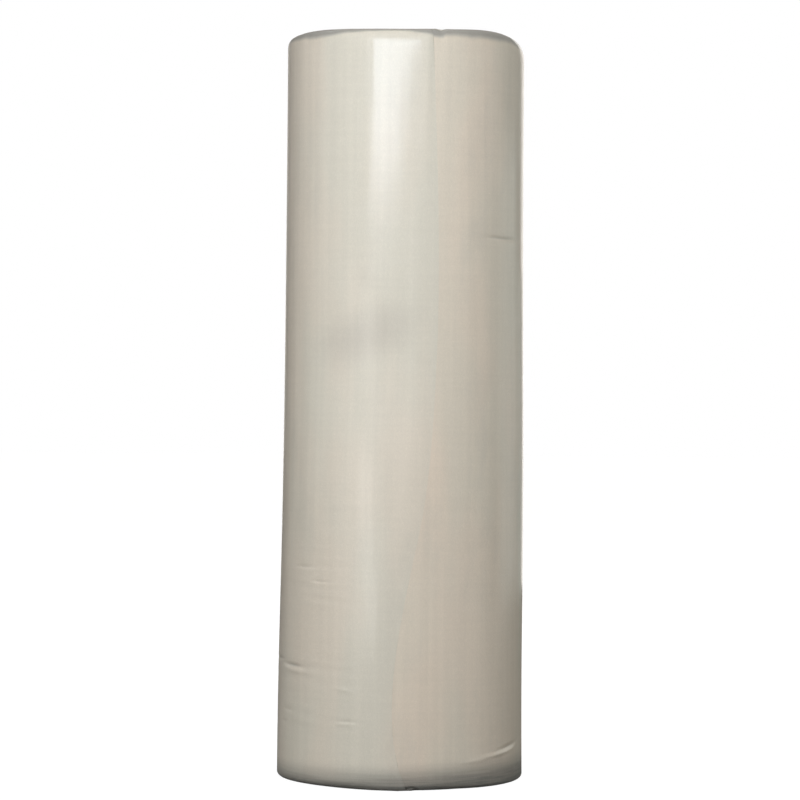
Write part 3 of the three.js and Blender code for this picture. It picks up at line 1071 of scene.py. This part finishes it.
def emitter(name, light, strength, dim_below=None):
    """A glowing sheet's material, which can be dimmer towards its lower edge."""
    glow = bpy.data.materials.new(name)
    glow.use_nodes = True
    tree = glow.node_tree
    tree.nodes.clear()
    lamp = add_node(tree, "ShaderNodeEmission", Color=light, Strength=strength)
    if dim_below:
        height = tree.nodes.new("ShaderNodeSeparateXYZ")
        inside = tree.nodes.new("ShaderNodeTexCoord")
        tree.links.new(inside.outputs["Object"], height.inputs["Vector"])
        dimmed = ramp(tree, height.outputs["Z"], *dim_below, DIMMED * strength, strength)
        tree.links.new(dimmed, lamp.inputs["Strength"])
    surface = tree.nodes.new("ShaderNodeOutputMaterial")
    tree.links.new(lamp.outputs["Emission"], surface.inputs["Surface"])
    return glow


def upright_sheet(half_width, low, high):
    """The four corners of a rectangle: across and height."""
    return [(-half_width, low), (half_width, low), (half_width, high), (-half_width, high)]


def softbox(name, azimuth, distance, corners, strength, light, dim_below):
    """A sheet of light that faces the roll; corners are (across, height) in metres."""
    bpy.ops.object.select_all(action="DESELECT")
    bpy.ops.mesh.primitive_plane_add(size=1)
    box = bpy.context.active_object
    box.name = box.data.name = name
    angle = math.radians(azimuth)
    away = np.array([math.sin(angle), -math.cos(angle), 0]) * distance
    right = np.array([math.cos(angle), math.sin(angle), 0])
    face_order = box.data.polygons[0].vertices
    for index, (across, height) in zip(face_order, corners):
        box.data.vertices[index].co = away + right * across + np.array([0, 0, height])
    box.data.materials.append(emitter(name + "_glow", light, strength, dim_below))
    box.visible_camera = False


KEY_CORNERS = [(-0.73, 0.80), (1.00, 1.52), (1.10, 2.04), (-0.73, 2.04)]
WING_CORNERS = [(1.00, 1.52), (1.45, 1.55), (1.45, 2.04), (1.10, 2.04)]
KEY_STRENGTH = 11.4
TALL = upright_sheet(0.8, 0.1, 2.2)
SHORT = upright_sheet(0.8, 0.1, 1.35)
HALF = upright_sheet(0.8, 0.1, 1.0)
LOW = upright_sheet(0.8, 0.05, 0.7)
CARD = upright_sheet(0.5, 0.4, 2.1)
BROAD = upright_sheet(1.3, 0.1, 2.4)

# name, azimuth, distance, corners, strength, light, and between which heights it dims
SOFTBOXES = [
    ("key_softbox", -15, 2.6, KEY_CORNERS, KEY_STRENGTH, COOL_LIGHT, (1.10, 1.30)),
    ("key_wing", -15, 2.6, WING_CORNERS, KEY_STRENGTH, COOL_LIGHT, None),
    ("front_softbox", 45, 3.0, TALL, 0.70, WARM_LIGHT, None),
    ("right_softbox", 115, 3.0, SHORT, 1.52, SHADE_LIGHT, None),
    ("right_back_softbox", 143, 3.0, HALF, 0.70, SHADE_LIGHT, None),
    ("left_softbox", -45, 3.0, HALF, 1.35, WARM_LIGHT, None),
    ("low_softbox", -42, 3.0, LOW, 4.3, WARM_LIGHT, None),
    ("black_card", -118, 0.9, CARD, 0.0, WARM_LIGHT, None),
    ("back_softbox", 172, 3.2, BROAD, 2.2, WARM_LIGHT, None),
]
for name, azimuth, distance, corners, strength, light, dim_below in SOFTBOXES:
    softbox(name, azimuth, distance, corners, strength, light, dim_below)

# One more hangs straight above, for the turns on the top end, which no other light reaches
TOP_BOX_SIZE, TOP_BOX_HEIGHT, TOP_BOX_STRENGTH = 1.8, 3.2, 0.9
bpy.ops.object.select_all(action="DESELECT")
bpy.ops.mesh.primitive_plane_add(size=TOP_BOX_SIZE, location=(0, 0, TOP_BOX_HEIGHT))
above = bpy.context.active_object
above.name = "top_softbox"
bpy.ops.object.transform_apply()
above.data.materials.append(emitter("top_glow", WARM_LIGHT, TOP_BOX_STRENGTH))
above.visible_camera = False
print("sheets of light, a dark one among them:", len(SOFTBOXES) + 1)

# %% [markdown]
# ## The camera
# The roll was seen from its middle height and from a good way off, so its sides are nearly
# parallel. It leans over a little to the right: that is the camera, which was held half a degree
# askew. The picture is 800 pixels square.

# %% Camera
IMAGE = 800
FOCAL_PIXELS = 2647.0
SENSOR = 36.0
CAMERA_PLACE = (-0.0037, -4.4, 0.6075)
HORIZON_ROW = 408.7
EYE_LINE = HORIZON_ROW - IMAGE / 2
CAMERA_ROLL = 0.45

bpy.ops.object.select_all(action="DESELECT")
bpy.ops.object.camera_add(location=CAMERA_PLACE)
camera = bpy.context.active_object
camera.name = "camera"
camera.data.sensor_width = SENSOR
camera.data.lens = FOCAL_PIXELS / IMAGE * SENSOR
pitch = Matrix.Rotation(math.pi / 2 + math.atan(EYE_LINE / FOCAL_PIXELS), 4, "X")
roll = Matrix.Rotation(math.radians(CAMERA_ROLL), 4, "Z")
camera.rotation_euler = (pitch @ roll).to_euler()
bpy.context.scene.camera = camera
print("camera: lens", round(camera.data.lens, 2), "mm")
